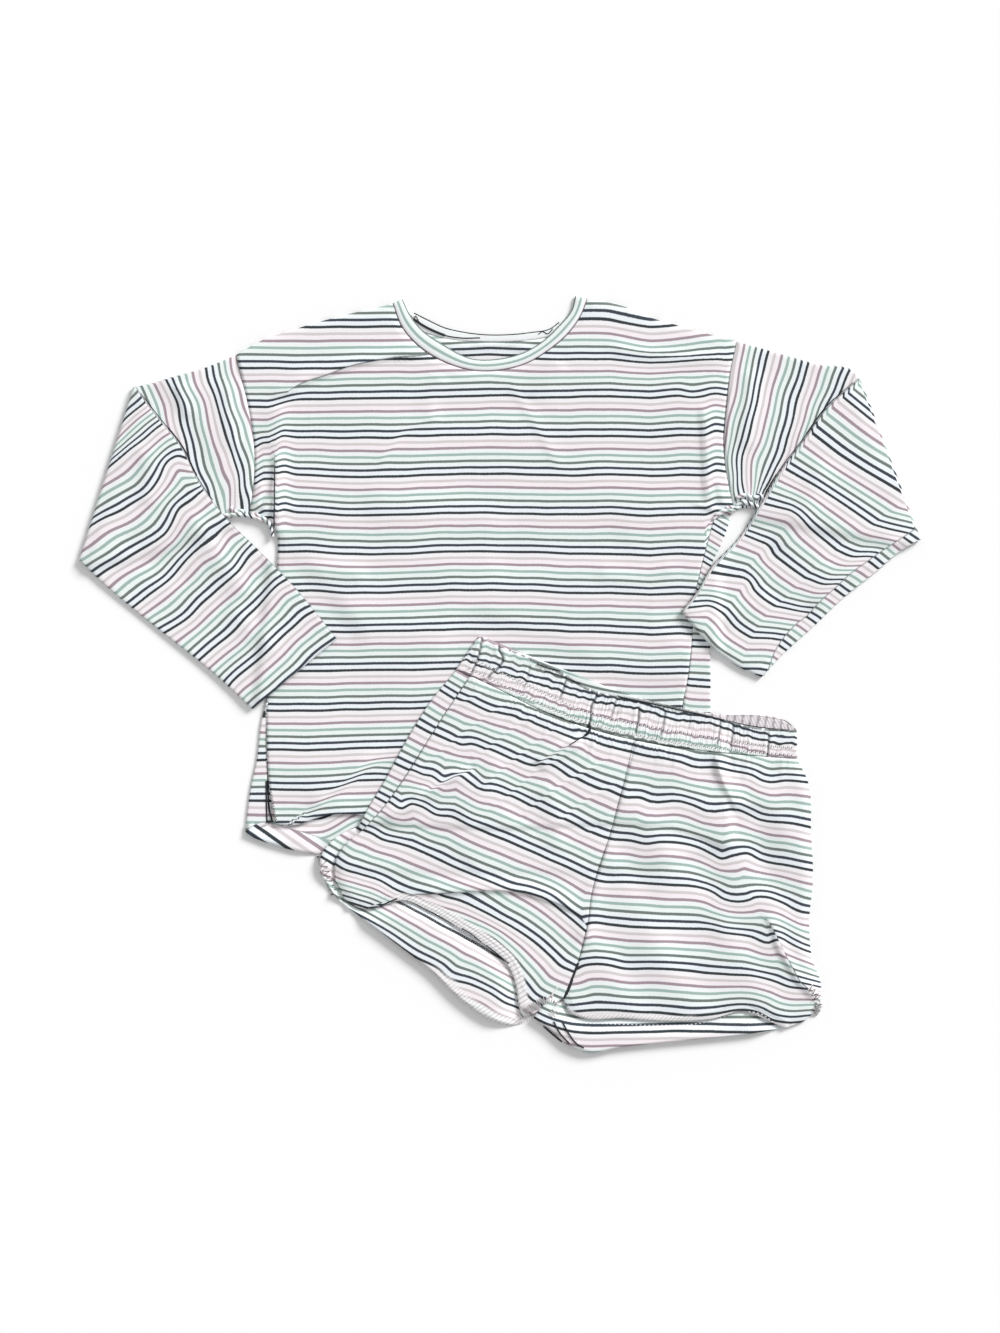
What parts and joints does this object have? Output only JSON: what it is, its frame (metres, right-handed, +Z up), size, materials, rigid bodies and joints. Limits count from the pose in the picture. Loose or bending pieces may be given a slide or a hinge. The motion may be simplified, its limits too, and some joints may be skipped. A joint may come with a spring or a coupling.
{
  "type": "pyjama set",
  "caption": "Striped jersey pyjama set laid flat: a long-sleeved top with the sleeves folded over, and elasticated shorts lying across its hem.",
  "frame": {"origin": "middle of the floor area that the laid-out set covers, on the floor", "axes": "+X across the top from one folded sleeve to the other, +Y from the shorts' hems towards the top's neck, +Z up from the floor"},
  "size_m": [0.9248, 0.8294, 0.0113],
  "materials": {
    "jersey": "matt soft jersey, white with thin mauve, mint, sage, navy, charcoal and beige stripes",
    "neckband": "matt soft jersey binding with stripes along it",
    "waistband": "matt soft jersey gathered over elastic"
  },
  "bodies": {
    "root": {"top_front": "jersey", "top_back": "jersey", "sleeve_left": "jersey", "sleeve_right": "jersey", "neckband": "neckband", "shorts_front_left": "jersey", "shorts_front_right": "jersey", "shorts_back_left": "jersey", "shorts_back_right": "jersey", "waistband": "waistband"}
  },
  "joints": []
}
